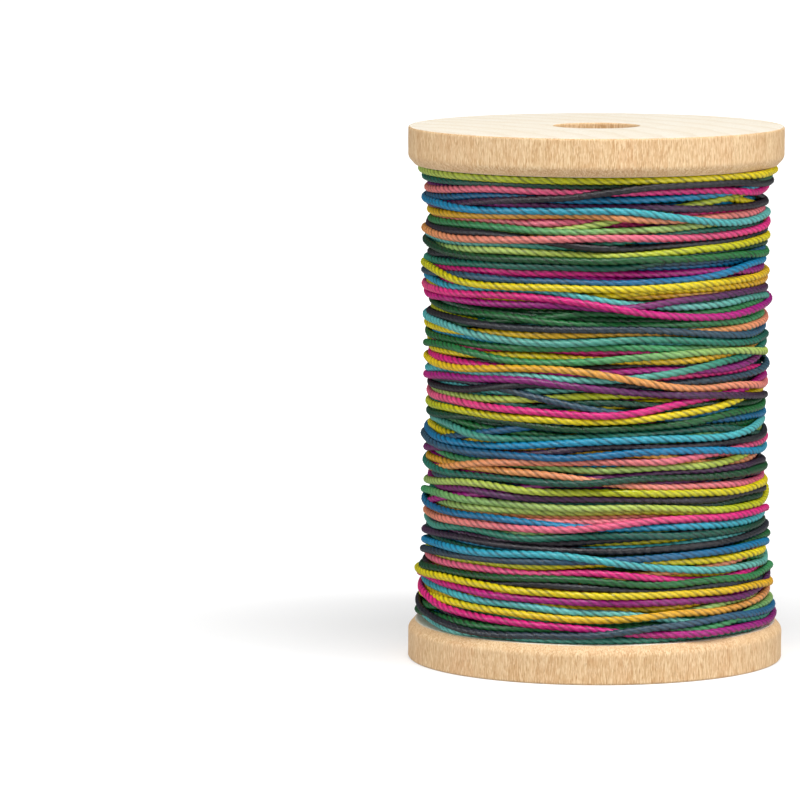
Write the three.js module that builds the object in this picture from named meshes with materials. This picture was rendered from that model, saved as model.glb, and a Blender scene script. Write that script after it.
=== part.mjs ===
// A wooden spool wound with waxed thread, standing on its lower flange.
// Millimetres, +Z up. The origin is the centre of the lower flange's face, on the spool's axis.
import * as THREE from 'three';

// Driving dimensions of the turned spool.
const flangeDiameter = 51;
const spoolHeight = 72.5;
const boreDiameter = 11.5;
const barrelDiameter = 20;
const rimHeight = 4.15;
const rimRounding = 0.35;
const chamferHeight = 1.05;
const chamferWidth = 0.95;
const boreEdgeBreak = 0.4;
const barrelFillet = 1;

// Driving dimensions of the wound thread: how far out it stands half way up, how much more it
// stands out against the flanges, and how thick its outer layers are.
const windingRadius = 23.1;
const windingFlare = 1.4;
const flareCurve = 3;
const outerLayers = 3;
const shoulderRadius = 0.4;

// The solids touch on the real spool. Here they keep this much clear of one another.
const gap = 0.3;

// Facets around the axis, steps in a rounded corner, and steps up the winding's curved face.
const facets = 48;
const cornerSteps = 3;
const faceSteps = 8;

const flangeRadius = flangeDiameter / 2;
const boreRadius = boreDiameter / 2;
const barrelRadius = barrelDiameter / 2;
const flangeThickness = rimHeight + chamferHeight;

// Points of a round corner about (cx, cy), from one angle to another in degrees.
function arc(cx, cy, radius, fromDegrees, toDegrees, steps = cornerSteps) {
  const points = [];
  for (let i = 0; i <= steps; i += 1) {
    const angle = THREE.MathUtils.degToRad(fromDegrees + ((toDegrees - fromDegrees) * i) / steps);
    points.push(new THREE.Vector2(cx + radius * Math.cos(angle), cy + radius * Math.sin(angle)));
  }
  return points;
}

// A ring turned about the axis from an outline that runs up its outer side and down its inner one.
function turned(outline) {
  const geometry = new THREE.LatheGeometry([...outline, outline[0].clone()], facets);
  geometry.rotateX(Math.PI / 2);
  return geometry;
}

// The upper half of the same outline: each point again, mirrored about half the spool's height.
function mirroredUp(points) {
  return points.map((point) => new THREE.Vector2(point.x, spoolHeight - point.y)).reverse();
}

// One piece of close-grained hardwood, turned between centres and bored through. Each flange has
// a straight rim with eased corners and a chamfer on the side that faces the thread.
function woodenSpoolGeometry() {
  const rimCorner = arc(flangeRadius - rimRounding, rimRounding, rimRounding, -90, 0);
  const chamferTop = new THREE.Vector2(flangeRadius - chamferWidth, flangeThickness);
  const fillet = arc(
    barrelRadius + barrelFillet, flangeThickness + barrelFillet, barrelFillet, 270, 180,
  );
  const boreMouth = new THREE.Vector2(boreRadius + boreEdgeBreak, 0);
  const boreWall = new THREE.Vector2(boreRadius, boreEdgeBreak);
  const rimTop = new THREE.Vector2(flangeRadius, rimHeight);
  const outerHalf = [boreWall, boreMouth, ...rimCorner, rimTop, chamferTop, ...fillet];
  return turned([...outerHalf, ...mirroredUp(outerHalf)]);
}

// How far out the wound thread stands at a height: least half way up, most against the flanges.
function windingSurface(height) {
  const fromMiddle = Math.abs(height / (spoolHeight / 2) - 1);
  const atFlange = 1 - flangeThickness / (spoolHeight / 2);
  return windingRadius + windingFlare * (fromMiddle / atFlange) ** flareCurve;
}

// The face of a wound layer that lies a given depth under the surface, from the lower end up.
function layerFace(depth, lowest, highest) {
  const points = [];
  for (let i = 0; i <= faceSteps; i += 1) {
    const height = THREE.MathUtils.lerp(lowest, highest, i / faceSteps);
    points.push(new THREE.Vector2(windingSurface(height) - depth, height));
  }
  return points;
}

// The layers of thread that show, as one ring with its true outer shape.
function outerWindingGeometry() {
  const lowest = flangeThickness + gap;
  const highest = spoolHeight - lowest;
  const inside = layerFace(outerLayers, lowest, highest).reverse();
  const outside = layerFace(0, lowest + shoulderRadius, highest - shoulderRadius);
  const lowerShoulder = new THREE.Vector2(outside[0].x - shoulderRadius, lowest);
  const upperShoulder = new THREE.Vector2(outside[0].x - shoulderRadius, highest);
  return turned([lowerShoulder, ...outside, upperShoulder, ...inside]);
}

// The thread under those layers, down to the barrel. It clears the fillets at the barrel's ends.
function innerWindingGeometry() {
  const lowest = flangeThickness + gap;
  const highest = spoolHeight - lowest;
  const innerRadius = barrelRadius + gap;
  const outside = layerFace(outerLayers + gap, lowest, highest);
  const aboveFillet = new THREE.Vector2(innerRadius, lowest + barrelFillet);
  const besideFillet = new THREE.Vector2(innerRadius + barrelFillet, lowest);
  const inside = [
    new THREE.Vector2(besideFillet.x, highest),
    new THREE.Vector2(innerRadius, spoolHeight - aboveFillet.y),
    aboveFillet,
    besideFillet,
  ];
  return turned([...outside, ...inside]);
}

function piece(name, geometry, colour, roughness) {
  const material = new THREE.MeshStandardMaterial({ color: colour, roughness, metalness: 0 });
  const mesh = new THREE.Mesh(geometry, material);
  mesh.name = name;
  return mesh;
}

const group = new THREE.Group();
group.add(
  piece('wooden_spool', woodenSpoolGeometry(), 0xe9d3a8, 0.75),
  piece('thread_inner_winding', innerWindingGeometry(), 0x26403f, 0.7),
  piece('thread_outer_winding', outerWindingGeometry(), 0x2f8f8c, 0.45),
);

export default group;
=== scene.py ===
import math
import random

import bmesh
import bpy
import numpy as np
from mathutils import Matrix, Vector, noise


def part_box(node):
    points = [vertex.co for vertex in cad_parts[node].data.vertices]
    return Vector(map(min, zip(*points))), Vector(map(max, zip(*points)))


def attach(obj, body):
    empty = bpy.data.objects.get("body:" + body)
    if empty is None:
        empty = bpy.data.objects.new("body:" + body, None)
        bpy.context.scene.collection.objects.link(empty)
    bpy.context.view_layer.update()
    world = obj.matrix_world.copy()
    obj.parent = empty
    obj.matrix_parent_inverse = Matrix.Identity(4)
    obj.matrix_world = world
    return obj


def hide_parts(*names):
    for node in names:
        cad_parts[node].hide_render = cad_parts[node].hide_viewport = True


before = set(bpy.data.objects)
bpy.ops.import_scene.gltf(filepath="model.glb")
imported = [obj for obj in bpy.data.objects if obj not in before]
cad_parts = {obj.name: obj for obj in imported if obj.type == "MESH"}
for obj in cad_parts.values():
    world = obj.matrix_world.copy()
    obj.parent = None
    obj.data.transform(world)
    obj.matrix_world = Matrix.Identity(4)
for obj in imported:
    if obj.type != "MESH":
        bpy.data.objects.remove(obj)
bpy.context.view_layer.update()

# ---------------------------------------------------------------------------------------------
# The wooden spool. One piece of close-grained pale hardwood, turned between centres and bored
# from end to end. The fibres run along its axis, so the rims show side grain and the flat faces
# end grain. The corners are eased with sandpaper while it turns.
# ---------------------------------------------------------------------------------------------
flange_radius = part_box("wooden_spool")[1].x
spool_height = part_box("wooden_spool")[1].z
bore_radius = 0.00575
barrel_radius = 0.010
rim_height = 0.00415
chamfer_height = 0.00105
chamfer_width = 0.00095
flange_thickness = rim_height + chamfer_height
turned_sides = 320
near = 0.00001


def select_where(kind, test):
    """Selects the vertices, edges or faces of the mesh in edit mode whose middle passes a test."""
    bpy.ops.mesh.select_mode(type=kind)
    bpy.ops.mesh.select_all(action="DESELECT")
    mesh = bmesh.from_edit_mesh(bpy.context.object.data)
    for part in {"VERT": mesh.verts, "EDGE": mesh.edges, "FACE": mesh.faces}[kind]:
        if kind == "VERT":
            middle = part.co
        else:
            middle = sum((v.co for v in part.verts), Vector()) / len(part.verts)
        if test(middle, part):
            part.select_set(True)
    bmesh.update_edit_mesh(bpy.context.object.data)


def ring_at(radius, *heights):
    """A test for the edges that run round the axis at a radius, at any of some heights."""
    def test(middle, edge):
        level = abs(edge.verts[0].co.z - edge.verts[1].co.z) < near
        round_axis = all(abs(v.co.xy.length - radius) < near for v in edge.verts)
        return level and round_axis and any(abs(middle.z - z) < near for z in heights)
    return test


def both_ends(height):
    """A height on the lower flange, and the same place on the upper one."""
    return height, spool_height - height


def ease(radius, height, width, segments):
    """Rounds the corner that runs round the spool at a radius, on both flanges."""
    select_where("EDGE", ring_at(radius, *both_ends(height)))
    bpy.ops.mesh.bevel(offset=width, segments=segments, affect="EDGES")


bpy.ops.object.select_all(action="DESELECT")
bpy.ops.mesh.primitive_cylinder_add(
    vertices=turned_sides, radius=flange_radius, depth=spool_height,
    end_fill_type="NOTHING", location=(0, 0, spool_height / 2),
)
spool = bpy.context.object
spool.name = "turned_spool"
bpy.ops.object.transform_apply(location=True)
bpy.ops.object.mode_set(mode="EDIT")
for height in both_ends(flange_thickness) + both_ends(rim_height):
    bpy.ops.mesh.select_all(action="SELECT")
    bpy.ops.mesh.bisect(plane_co=(0, 0, height), plane_no=(0, 0, 1))

# The waste between the flanges is cut away down to the barrel, and the flanges' inner corners
# are chamfered.
inner_faces = both_ends(flange_thickness)
select_where("FACE", lambda middle, face: inner_faces[0] < middle.z < inner_faces[1])
bpy.ops.mesh.extrude_region_move()
to_barrel = barrel_radius / flange_radius
bpy.ops.transform.resize(value=(to_barrel, to_barrel, 1), center_override=(0, 0, 0))
select_where("VERT", lambda place, vert: place.xy.length > flange_radius - near
             and any(abs(place.z - z) < near for z in inner_faces))
to_chamfer = 1 - chamfer_width / flange_radius
bpy.ops.transform.resize(value=(to_chamfer, to_chamfer, 1), center_override=(0, 0, 0))

# The flat faces run in to the bore, which goes through from one to the other.
to_bore = bore_radius / flange_radius
for height in both_ends(0):
    select_where("EDGE", ring_at(flange_radius, height))
    bpy.ops.mesh.extrude_edges_move()
    bpy.ops.transform.resize(value=(to_bore, to_bore, 1), center_override=(0, 0, height))
select_where("EDGE", lambda middle, edge: edge.is_boundary)
bpy.ops.mesh.bridge_edge_loops()
ease(flange_radius, 0, 0.0003, 4)
ease(flange_radius, rim_height, 0.0004, 3)
ease(flange_radius - chamfer_width, flange_thickness, 0.0002, 2)
ease(barrel_radius, flange_thickness, 0.001, 4)
ease(bore_radius, 0, 0.00025, 3)
for share in (0.25, 0.5, 0.75):
    for height in both_ends(share * rim_height):
        bpy.ops.mesh.select_all(action="SELECT")
        bpy.ops.mesh.bisect(plane_co=(0, 0, height), plane_no=(0, 0, 1))

# A narrow border inside each flat face and straight wall keeps its shading flat up to the edge.
borders = (
    lambda middle, face: abs(face.normal.z) > 0.999,
    lambda middle, face: abs(face.normal.z) < 0.001 and middle.xy.length < bore_radius,
    lambda middle, face: abs(face.normal.z) < 0.001 and middle.xy.length > flange_radius - 0.0001,
)
for flat in borders:
    select_where("FACE", flat)
    bpy.ops.mesh.inset(thickness=0.00012)
bpy.ops.mesh.select_all(action="SELECT")
bpy.ops.mesh.normals_make_consistent(inside=False)
bpy.ops.object.mode_set(mode="OBJECT")

# Sanding by hand leaves the rims and corners a few hundredths of a millimetre out of true.
for vertex in spool.data.vertices:
    radius = vertex.co.xy.length
    if radius > flange_radius - chamfer_width:
        slow = noise.noise(vertex.co * 150)
        fine = noise.noise(vertex.co * 700)
        vertex.co.xy *= 1 - (0.00005 + 0.00004 * slow + 0.00003 * fine) / radius
bpy.ops.object.shade_smooth_by_angle(angle=math.radians(40))


class Shader:
    """A material's nodes, added and joined one after another."""

    def __init__(self, name):
        self.material = bpy.data.materials.new(name)
        self.material.use_nodes = True
        self.tree = self.material.node_tree
        self.surface = self.tree.nodes["Principled BSDF"]

    def add(self, kind, sockets=(), **settings):
        """Adds a node. A socket's value is a number or colour, or another node's output."""
        node = self.tree.nodes.new(kind)
        for name, value in settings.items():
            setattr(node, name, value)
        self.set(node, sockets)
        return node

    def set(self, node, sockets):
        for name, value in dict(sockets).items():
            if isinstance(value, bpy.types.NodeSocket):
                self.tree.links.new(value, node.inputs[name])
            else:
                node.inputs[name].default_value = value

    def place(self, source, scale, location=(0, 0, 0)):
        """A pattern's coordinates: another vector, moved and scaled."""
        sockets = {"Vector": source, "Scale": scale, "Location": location}
        return self.add("ShaderNodeMapping", sockets).outputs["Vector"]

    def noise(self, vector, scale, detail=2.0, roughness=0.5):
        sockets = {"Vector": vector, "Scale": scale, "Detail": detail, "Roughness": roughness}
        return self.add("ShaderNodeTexNoise", sockets).outputs["Fac"]

    def maths(self, operation, *values):
        node = self.add("ShaderNodeMath", operation=operation)
        self.set(node, enumerate(values))
        return node.outputs[0]

    def spread(self, value, low, high, to_low=0.0, to_high=1.0):
        """Spreads the values between low and high over another span, and cuts off the rest."""
        sockets = {"Value": value, "From Min": low, "From Max": high,
                   "To Min": to_low, "To Max": to_high}
        return self.add("ShaderNodeMapRange", sockets).outputs["Result"]

    def mix(self, share, first, second, blend="MIX"):
        node = self.add("ShaderNodeMix", data_type="RGBA", blend_type=blend)
        self.set(node, {0: share, 6: first, 7: second})
        return node.outputs[2]

    def bump(self, height, depth, strength=1.0, under=None):
        sockets = {"Height": height, "Distance": depth, "Strength": strength}
        if under is not None:
            sockets["Normal"] = under
        return self.add("ShaderNodeBump", sockets).outputs["Normal"]


def linear(red, green, blue):
    """A colour as a renderer wants it, from the 0 to 255 values of a swatch."""
    channels = [value / 255 for value in (red, green, blue)]
    return (*(c / 12.92 if c <= 0.04045 else ((c + 0.055) / 1.055) ** 2.4 for c in channels), 1)


# Bare hardwood: broad faint growth rings about a heart that lay outside the blank, short fibres
# and pores along the axis, and flat faces of end grain that are paler than the rims.
wood = Shader("pale_hardwood")
place = wood.add("ShaderNodeTexCoord").outputs["Object"]
normal = wood.add("ShaderNodeNewGeometry").outputs["Normal"]
upright = wood.add("ShaderNodeSeparateXYZ", {"Vector": normal}).outputs["Z"]
end_grain = wood.spread(wood.maths("ABSOLUTE", upright), 0.8, 0.98)
from_heart = wood.place(place, (1, 1, 0.05), (0.048, 0.031, 0))
wander = wood.noise(wood.place(place, (1, 1, 0.12)), 140, 3)
rings = wood.add("ShaderNodeTexWave", {
    "Vector": from_heart, "Scale": 66, "Distortion": 1.6, "Detail": 2, "Detail Scale": 2.5,
}, wave_type="RINGS", rings_direction="Z", wave_profile="SAW").outputs["Fac"]
late_wood = wood.spread(rings, 0.55, 1.0)
streaks = wood.noise(wood.place(place, (1, 1, 0.05)), 900, 4, 0.65)
fibres = wood.noise(wood.place(place, (1, 1, 0.12)), 6800, 2, 0.6)
flecks = wood.noise(wood.place(place, (1, 1, 0.16), (0.1, 0.2, 0)), 5200, 2, 0.6)
pores = wood.spread(wood.noise(wood.place(place, (1, 1, 0.22)), 5600, 1), 0.62, 0.74)
side = wood.mix(wood.spread(streaks, 0.36, 0.64), linear(228, 194, 148), linear(206, 166, 117))
side = wood.mix(wood.maths("MULTIPLY", late_wood, 0.4), side, linear(202, 152, 100))
side = wood.mix(wood.spread(wander, 0.45, 0.7, 0, 0.35), side, linear(220, 171, 126))
side = wood.mix(wood.spread(fibres, 0.46, 0.6, 0.0, 0.75), side, linear(241, 214, 172))
side = wood.mix(wood.spread(flecks, 0.53, 0.66, 0.0, 0.7), side, linear(188, 138, 86))
side = wood.mix(wood.maths("MULTIPLY", pores, 0.4), side, linear(170, 122, 78))
end = wood.mix(wood.maths("MULTIPLY", late_wood, 0.45), linear(246, 239, 224),
               linear(230, 212, 182))
end = wood.mix(wood.spread(wander, 0.4, 0.7, 0.0, 0.35), end, linear(240, 225, 198))
end = wood.mix(wood.spread(flecks, 0.5, 0.66, 0.0, 0.4), end, linear(224, 204, 172))
end = wood.mix(wood.maths("MULTIPLY", pores, 0.4), end, linear(186, 154, 112))
from_axis = wood.add("ShaderNodeVectorMath", {0: wood.place(place, (1, 1, 0))}, operation="LENGTH")
facing_cut = wood.maths("SINE", wood.maths("MULTIPLY", from_axis.outputs["Value"], 11000))
facing_cut = wood.maths("MULTIPLY", facing_cut, wood.maths("MULTIPLY", end_grain, 0.12))
wood.set(wood.surface, {
    "Base Color": wood.mix(end_grain, side, end),
    "Roughness": wood.spread(fibres, 0.3, 0.7, 0.5, 0.7),
    "Normal": wood.bump(wood.maths("ADD", wood.maths("SUBTRACT", fibres, flecks), facing_cut),
                        0.00004, 0.6),
})
spool.data.materials.append(wood.material)
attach(spool, "root")
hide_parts("wooden_spool")

# ---------------------------------------------------------------------------------------------
# The thread. Three waxed plies laid up with a right-hand twist, dyed along their length, and
# wound on by a guide that runs up and down between the flanges. Each pass lies across the last,
# slips into the valleys that it finds, and bridges from ridge to ridge under tension.
# ---------------------------------------------------------------------------------------------
thread_radius = 0.0005
lay_length = 0.0038
steps_per_turn = 336
pass_count = 10
seat_distance = 0.97 * 2 * thread_radius
level_step = 0.0001
lowest = flange_thickness + thread_radius
highest = spool_height - lowest
levels = int(round((highest - lowest) / level_step)) + 1
level_heights = lowest + level_step * np.arange(levels)
waist_radius = 0.0234
built_up = 0.0032
proud_share = 0.5
sunk_share = 0.72
joint_steps = 60
tuck_steps = 70
tuck_depth = 0.0026
turn_angle = 2 * math.pi / steps_per_turn
chance = random.Random(11)


def winding_surface(height):
    """How far out the full winding stands at a height: least half way up, most at the flanges."""
    up = (height - spool_height / 2) / (spool_height / 2 - flange_thickness)
    below = 0.0017 * np.maximum(-up, 0) ** 3.4
    above = 0.0004 * np.maximum(up, 0) ** 3 + 0.0009 * np.exp(-((height - highest) / 0.0015) ** 2)
    return waist_radius + below + above


# How near the axis a new thread's middle can lie, at each step round the spool and level up it.
# It starts as the slightly lumpy surface of the thread that lies underneath.
full_seat = winding_surface(level_heights) - thread_radius
seat = np.tile(full_seat - built_up, (steps_per_turn, 1))
for step in range(steps_per_turn):
    around = Vector((math.cos(step * turn_angle), math.sin(step * turn_angle), 0)) * 1.5
    swell = [noise.noise(around + Vector((0, 0, height * 220))) for height in level_heights[::8]]
    seat[step] += 0.00015 * np.interp(level_heights, level_heights[::8], swell)


def seat_at(steps, heights):
    """The seat under each point of a path."""
    spot = (heights - lowest) / level_step
    below = np.clip(spot.astype(int), 0, levels - 2)
    share = np.clip(spot - below, 0, 1)
    around = steps % steps_per_turn
    return seat[around, below] * (1 - share) + seat[around, below + 1] * share


def raise_seat(steps, heights, radii):
    """Lifts the seat over a thread that has been laid, for one turn or less at a time."""
    reach = int(seat_distance / level_step)
    middle = np.round((heights - lowest) / level_step).astype(int)
    for offset in range(-reach, reach + 1):
        level = middle + offset
        inside = (level >= 0) & (level < levels)
        apart = lowest + level[inside] * level_step - heights[inside]
        lift = radii[inside] + np.sqrt(np.maximum(seat_distance ** 2 - apart ** 2, 0))
        spot = steps[inside] % steps_per_turn, level[inside]
        seat[spot] = np.maximum(seat[spot], lift)


def in_turns(count):
    """The stretches of a path, a turn at a time."""
    return [slice(i, min(i + steps_per_turn, count)) for i in range(0, count, steps_per_turn)]


def settled(steps, guide, start_slip, reach=22, stride=4):
    """Lets one turn slip sideways from where the guide lays it, to where it pulls the least."""
    slips = np.arange(-reach, reach + 1) * level_step
    nodes = steps[::stride]
    heights = np.clip(guide[::stride, None] + slips, lowest, highest)
    seats = seat_at(np.repeat(nodes, len(slips)), heights.ravel()).reshape(heights.shape)
    pull = seats / waist_radius + 1500 * (heights - guide[::stride, None]) ** 2
    arc = stride * turn_angle * waist_radius
    total = pull[0] + 1000 * np.abs(slips - start_slip)
    came_from = np.zeros(heights.shape, int)
    for i in range(1, len(nodes)):
        best = np.full(len(slips), np.inf)
        for move in range(-3, 4):
            shifted = np.full(len(slips), np.inf)
            lo, hi = max(0, move), len(slips) + min(0, move)
            shifted[lo:hi] = total[lo - move:hi - move] + 0.5 * (move * level_step / arc) ** 2
            better = shifted < best
            best[better] = shifted[better]
            came_from[i][better] = -move
        total = best + pull[i]
    choice = int(np.argmin(total))
    chosen = np.zeros(len(nodes))
    for i in range(len(nodes) - 1, -1, -1):
        chosen[i] = slips[choice]
        choice += came_from[i][choice]
    return np.interp(steps, nodes, chosen)


def blurred(values, reach):
    """A running mean over some places either side."""
    ends = np.full(reach, values[0]), np.full(reach, values[-1])
    window = np.full(2 * reach + 1, 1 / (2 * reach + 1))
    return np.convolve(np.concatenate((ends[0], values, ends[1])), window, mode="valid")


def pulled_taut(radii):
    """Lifts the stretches where a thread under tension can't reach the hollows below it."""
    for _ in range(3):
        for reach in (1, 2, 3, 5, 8, 12):
            before, after = radii[:-2 * reach], radii[2 * reach:]
            chord = 2 * before * after * math.cos(reach * turn_angle) / (before + after)
            radii[reach:-reach] = np.maximum(radii[reach:-reach], chord)
    return blurred(radii, 2)


def guide_path(number):
    """The guide's height at each step of a pass. It dwells where the winding has a hollow."""
    hollow = blurred(np.maximum(full_seat - built_up - thread_radius - seat.mean(axis=0), -1), 10)
    density = 1 + (hollow - hollow.mean()) / thread_radius
    density = np.clip(density, 0.45, 2.2)
    for _ in range(9):
        place, width = chance.uniform(lowest, highest), chance.uniform(0.0015, 0.004)
        density *= 1 + chance.uniform(-0.4, 0.7) * np.exp(
            -(((level_heights - place) / width) ** 2))
    for _ in range(3):
        place, width = chance.uniform(lowest, highest), chance.uniform(0.0018, 0.0032)
        density *= 1 - 0.88 * np.exp(-(((level_heights - place) / width) ** 4))
    turns = np.cumsum(blurred(np.maximum(density, 0.13), 5))
    turns *= chance.uniform(17, 22) / turns[-1]
    path = np.interp(np.arange(0, turns[-1], 1 / steps_per_turn), turns, level_heights)
    return lowest + highest - path if number % 2 else path


def lay_pass(first_step, guide, slip):
    """Winds one pass from flange to flange on what is there. It starts from the last one's slip."""
    steps = first_step + np.arange(len(guide))
    slips = np.full(len(guide), slip)
    for turn in in_turns(len(guide)):
        slips[turn] = settled(steps[turn], guide[turn], slips[turn.start - 1])
        heights = np.clip(guide[turn] + slips[turn], lowest, highest)
        raise_seat(steps[turn], heights, seat_at(steps[turn], heights))
    return steps, np.clip(blurred(guide + slips, 10), lowest, highest), slips[-1]


def wind():
    """The whole path, as the step, height and radius of each point, and where each pass ends."""
    steps, heights, radii, ends, slip = [], [], [], [0], 0.0
    for number in range(pass_count):
        guide = guide_path(number)
        before = seat.copy()
        pass_steps, pass_heights, slip = lay_pass(ends[-1], guide, slip)
        seat[:] = before
        pass_radii = np.zeros(len(guide))
        for turn in in_turns(len(guide)):
            pass_radii[turn] = seat_at(pass_steps[turn], pass_heights[turn])
            raise_seat(pass_steps[turn], pass_heights[turn], pass_radii[turn])
        if radii:
            joined = pulled_taut(np.concatenate((radii[-1][-joint_steps:], pass_radii)))
            pass_radii = joined[joint_steps:]
        else:
            pass_radii = pulled_taut(pass_radii)
        for turn in in_turns(len(guide)):
            raise_seat(pass_steps[turn], pass_heights[turn], pass_radii[turn])
        steps.append(pass_steps)
        heights.append(pass_heights)
        radii.append(pass_radii)
        ends.append(ends[-1] + len(guide))
    return np.concatenate(steps), np.concatenate(heights), np.concatenate(radii), ends


def pressed_together(heights, radii):
    """Beds the layers into one another, until the full winding has its measured shape."""
    top = blurred(seat.mean(axis=0), 25) - 1.6 * thread_radius
    depth = radii - np.interp(heights, level_heights, top)
    pressed = depth * np.where(depth > 0, proud_share, sunk_share)
    return np.interp(heights, level_heights, full_seat) + pressed


path_steps, path_heights, path_radii, pass_ends = wind()
path_heights = blurred(path_heights, 4)
path_radii = pressed_together(path_heights, pulled_taut(path_radii))

# The winding stops at the back, where the last stretch is tucked down between the turns.
last_step = pass_ends[-1] - (pass_ends[-1] - steps_per_turn // 4) % steps_per_turn
tucked = np.clip((path_steps - last_step) / tuck_steps + 1, 0, 1)
path_radii = (path_radii - tuck_depth * tucked ** 2)[:last_step]
path_steps = path_steps[:last_step]
path_heights = path_heights[:last_step]
pass_ends[-1] = last_step
path_angle = path_steps * turn_angle
centre_line = np.stack(
    (path_radii * np.cos(path_angle), path_radii * np.sin(path_angle), path_heights), axis=1)
along = np.gradient(centre_line, axis=0)
along /= np.linalg.norm(along, axis=1)[:, None]
outward = centre_line * (1, 1, 0)
outward -= along * (outward * along).sum(axis=1)[:, None]
outward /= np.linalg.norm(outward, axis=1)[:, None]
aside = np.cross(along, outward)
gone = np.concatenate(([0], np.cumsum(np.linalg.norm(np.diff(centre_line, axis=0), axis=1))))

# Three plies: each shows as a rounded crest with a groove on either side of it. The crests stand
# a little outside the thread's mean radius.
crest_share = 1.06
ply_outline = crest_share * thread_radius * np.array([1.0, 0.94, 0.79, 0.94] * 3)
around_section = 2 * math.pi * np.arange(len(ply_outline)) / len(ply_outline)
dye_repeat_steps = 1560


def strand(name, start, stop):
    """A stretch of the thread as a closed tube whose edges run along its plies."""
    part = slice(start, stop)
    turned = around_section + 2 * math.pi * gone[part, None] / lay_length
    rings = centre_line[part, None, :] + ply_outline[None, :, None] * (
        np.cos(turned)[..., None] * outward[part, None, :]
        + np.sin(turned)[..., None] * aside[part, None, :])
    count, points = rings.shape[:2]
    ring, point = np.meshgrid(np.arange(count - 1), np.arange(points), indexing="ij")
    following = (point + 1) % points
    quads = np.stack((ring * points + point, ring * points + following,
                      (ring + 1) * points + following, (ring + 1) * points + point), axis=-1)
    along_dye = (ring + start) % dye_repeat_steps
    u = np.stack((along_dye, along_dye, along_dye + 1, along_dye + 1), axis=-1) / dye_repeat_steps
    v = np.stack((point, point + 1, point + 1, point), axis=-1) / points
    caps = np.arange(points)[::-1], (count - 1) * points + np.arange(points)
    mesh = bpy.data.meshes.new(name)
    mesh.vertices.add(count * points)
    mesh.vertices.foreach_set("co", rings.astype(np.float32).ravel())
    corners = np.concatenate((quads.ravel(), *caps))
    mesh.loops.add(len(corners))
    mesh.loops.foreach_set("vertex_index", corners.astype(np.int32))
    quad_starts = 4 * np.arange(quads.shape[0] * quads.shape[1])
    starts = np.concatenate((quad_starts, [4 * len(quad_starts), 4 * len(quad_starts) + points]))
    mesh.polygons.add(len(starts))
    mesh.polygons.foreach_set("loop_start", starts.astype(np.int32))
    mesh.update(calc_edges=True)
    cap_uv = np.zeros((2 * points, 2))
    cap_uv[:points] = u.ravel()[0], 0.5 / points
    cap_uv[points:] = u.ravel()[-1], 0.5 / points
    uv = np.concatenate((np.stack((u.ravel(), v.ravel()), axis=1), cap_uv))
    mesh.uv_layers.new(name="OFBake").data.foreach_set("uv", uv.astype(np.float32).ravel())
    mesh.validate()
    mesh.polygons.foreach_set("use_smooth", np.arange(len(starts)) < len(starts) - 2)
    piece = bpy.data.objects.new(name, mesh)
    bpy.context.collection.objects.link(piece)
    return piece


# Waxed thread, dyed in blocks that run into one another. The wax gives it a satin sheen. The
# grooves
# between the plies are painted darker: partly painted shade, partly a little more dye that they
# hold.
dyes = (
    linear(0, 112, 164), linear(4, 152, 204), linear(70, 194, 204), linear(116, 206, 194),
    linear(44, 146, 118), linear(0, 94, 80), linear(0, 66, 34), linear(4, 88, 38),
    linear(30, 122, 58), linear(72, 168, 104), linear(192, 220, 112), linear(204, 214, 8),
    linear(252, 228, 0), linear(255, 230, 0), linear(250, 188, 30), linear(255, 164, 112),
    linear(255, 124, 146), linear(252, 42, 142), linear(232, 0, 134), linear(180, 12, 142),
    linear(98, 32, 98), linear(42, 33, 46), linear(26, 26, 32), linear(34, 40, 50),
    linear(52, 88, 108), linear(0, 112, 164),
)


def dyed(shader, place_in_cycle):
    """The dye's colour at a place along its repeat, from 0 to 1."""
    ramp = shader.add("ShaderNodeValToRGB")
    while len(ramp.color_ramp.elements) < len(dyes):
        ramp.color_ramp.elements.new(0.5)
    for i, (stop, dye) in enumerate(zip(ramp.color_ramp.elements, dyes, strict=True)):
        stop.position = i / (len(dyes) - 1)
        stop.color = dye
    shader.set(ramp, {"Fac": place_in_cycle})
    return ramp.outputs["Color"]


waxed = Shader("waxed_thread")
spun = waxed.add("ShaderNodeUVMap", uv_map="OFBake").outputs["UV"]
length_and_ply = waxed.add("ShaderNodeSeparateXYZ", {"Vector": spun}).outputs
groove = waxed.maths("COSINE", waxed.maths("MULTIPLY", length_and_ply["Y"], 6 * math.pi))
filaments = waxed.noise(waxed.place(spun, (1800, 36, 1)), 1, 2, 0.6)
uptake = waxed.noise(waxed.place(spun, (170, 3, 1)), 1, 3)
colour = dyed(waxed, length_and_ply["X"])
# Painted shade, with a little more dye: the colour darkens in the grooves between the plies.
groove_shade_and_dye = waxed.maths("MULTIPLY", waxed.spread(groove, -1.0, 0.4, 1.0, 0.0),
                        waxed.spread(uptake, 0.4, 0.6, 0.95, 0.5))
# Painted shade between the filaments: fine dark streaks along the plies.
painted_shade_between_filaments = waxed.spread(filaments, 0.34, 0.56, 0.5, 0.0)
more_dye = waxed.spread(uptake, 0.3, 0.7, 0.35, 0.0)
colour = waxed.mix(more_dye, colour, (0.45, 0.45, 0.45, 1), "MULTIPLY")
colour = waxed.mix(groove_shade_and_dye, colour, (0.35, 0.35, 0.35, 1), "MULTIPLY")
colour = waxed.mix(painted_shade_between_filaments, colour, (0.4, 0.4, 0.4, 1), "MULTIPLY")
waxed.set(waxed.surface, {
    "Base Color": colour,
    "Roughness": 0.25,
    "Specular IOR Level": 0.6,
    "Normal": waxed.bump(filaments, 0.00008, 0.9),
})
for number in range(pass_count):
    shared_ring = 1 if number + 1 < pass_count else 0
    piece = strand(f"thread_pass_{number + 1:02d}", pass_ends[number],
                   pass_ends[number + 1] + shared_ring)
    piece.data.materials.append(waxed.material)
    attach(piece, "root")
    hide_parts("thread_outer_winding")

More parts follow.
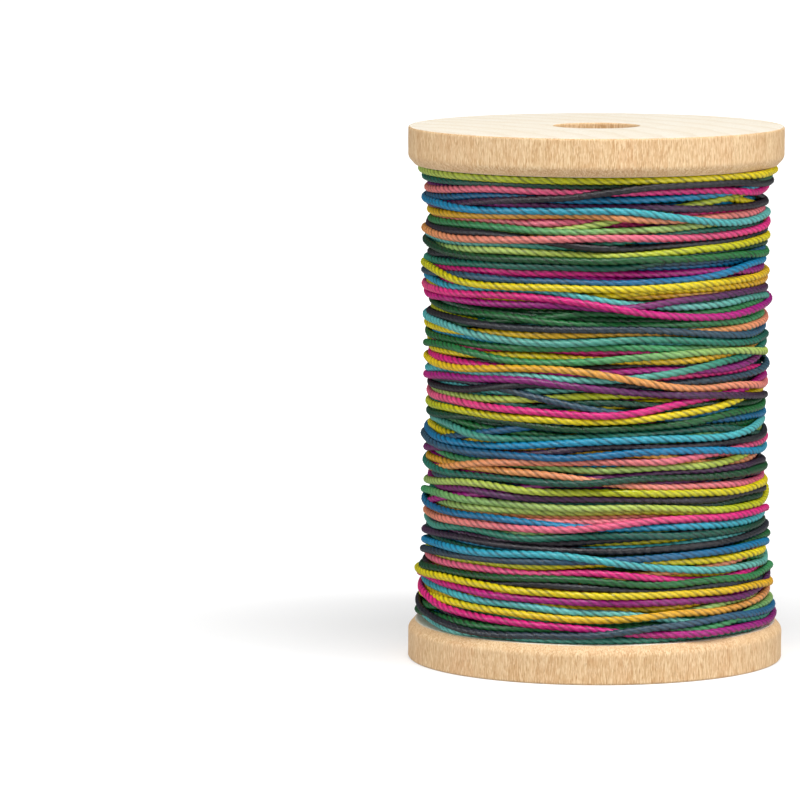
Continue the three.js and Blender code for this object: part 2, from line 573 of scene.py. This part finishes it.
# ---------------------------------------------------------------------------------------------
# The thread underneath, down to the barrel: the same waxed thread in the same dyes, wound first.
# It shows only as ridges in the shadow between the turns above it.
# ---------------------------------------------------------------------------------------------
under = Shader("thread_underneath")
spot = under.add("ShaderNodeSeparateXYZ", {
    "Vector": under.add("ShaderNodeTexCoord").outputs["Object"]}).outputs
way_round = under.maths("DIVIDE", under.maths("ARCTAN2", spot["Y"], spot["X"]), 2 * math.pi)
turn = under.maths("ADD", under.maths("DIVIDE", spot["Z"], 2 * thread_radius), way_round)
ridge = under.maths("COSINE", under.maths("MULTIPLY", turn, 2 * math.pi))
repeat = under.maths("FRACT", under.maths("MULTIPLY", turn, steps_per_turn / dye_repeat_steps))
# The hollows between the ridges are painted nearly black, as painted shade.
under.set(under.surface, {
    "Base Color": under.mix(under.spread(ridge, -1, 0.5, 0.8, 0.0), dyed(under, repeat),
                            (0.1, 0.1, 0.1, 1), "MULTIPLY"),
    "Roughness": 0.45,
    "Normal": under.bump(ridge, 0.0003),
})
inner = bpy.data.objects["thread_inner_winding"]
inner.data.materials.clear()
inner.data.materials.append(under.material)

# ---------------------------------------------------------------------------------------------
# The floor, the lamps and the camera. The floor is white paper that runs on past the view. One
# wide softbox hangs above and in front, and a square one stands at either side.
# ---------------------------------------------------------------------------------------------
bpy.ops.object.select_all(action="DESELECT")
bpy.ops.mesh.primitive_plane_add(size=12, location=(0, 0, 0))
floor = bpy.context.object
floor.name = "floor"
paper = Shader("white_paper")
paper.set(paper.surface, {"Base Color": (0.6, 0.6, 0.6, 1), "Roughness": 0.9,
                          "Specular IOR Level": 0.0})
sight = paper.add("ShaderNodeLightPath").outputs["Is Camera Ray"]
spot = paper.add("ShaderNodeTexCoord").outputs["Object"]
away = paper.add("ShaderNodeVectorMath", {0: spot}, operation="LENGTH").outputs["Value"]
lift = paper.maths("MULTIPLY", sight, paper.spread(away, 0.04, 0.3, 0.42, 1.0))
glow = paper.add("ShaderNodeEmission", {"Color": (1, 1, 1, 1), "Strength": lift})
both = paper.add("ShaderNodeAddShader")
paper.tree.links.new(paper.surface.outputs[0], both.inputs[0])
paper.tree.links.new(glow.outputs[0], both.inputs[1])
paper.tree.links.new(both.outputs[0], paper.tree.nodes["Material Output"].inputs["Surface"])
floor.data.materials.append(paper.material)

world = bpy.data.worlds.new("studio")
bpy.context.scene.world = world
world.use_nodes = True
sky = world.node_tree
back = sky.nodes["Background"]
path = sky.nodes.new("ShaderNodeLightPath")
seen = sky.nodes.new("ShaderNodeMath")
seen.operation = "MAXIMUM"
sky.links.new(path.outputs["Is Camera Ray"], seen.inputs[0])
sky.links.new(path.outputs["Is Transmission Ray"], seen.inputs[1])
level = sky.nodes.new("ShaderNodeMapRange")
level.inputs["To Min"].default_value = 0.2
level.inputs["To Max"].default_value = 1.0
sky.links.new(seen.outputs[0], level.inputs["Value"])
sky.links.new(level.outputs["Result"], back.inputs["Strength"])
back.inputs["Color"].default_value = (1, 1, 1, 1)


def softbox(name, place, aim, width, height, power):
    """A softbox that faces a point."""
    lamp = bpy.data.lights.new(name, "AREA")
    lamp.shape = "RECTANGLE"
    lamp.size = width
    lamp.size_y = height
    lamp.energy = power
    box = bpy.data.objects.new(name, lamp)
    bpy.context.collection.objects.link(box)
    box.location = place
    box.rotation_euler = (Vector(aim) - Vector(place)).to_track_quat("-Z", "Y").to_euler()


middle = Vector((0, 0, spool_height / 2))
softbox("key_softbox", (0.06, -0.34, 0.7), middle, 0.7, 0.2, 5.6)
softbox("right_softbox", (0.6, -0.28, 0.25), middle, 0.4, 0.4, 2.2)
softbox("left_softbox", (-0.65, -0.28, 0.25), middle, 0.4, 0.4, 2.0)

# The camera stands well back with a long lens, a little above the spool, and aims past its left
# side.
camera_distance = 0.7973
camera_height = 0.1272
camera = bpy.data.objects.new("camera", bpy.data.cameras.new("camera"))
bpy.context.collection.objects.link(camera)
camera.data.lens = 265.5
camera.data.sensor_width = 36
aside_angle = math.radians(1.909)
camera.location = (-camera_distance * math.sin(aside_angle),
                   -camera_distance * math.cos(aside_angle), camera_height)
camera.rotation_euler = (math.radians(90 - 6.592), 0, 0)
camera.data.clip_start = 0.05
camera.data.clip_end = 20
bpy.context.scene.camera = camera
bpy.context.scene.view_settings.view_transform = "Standard"
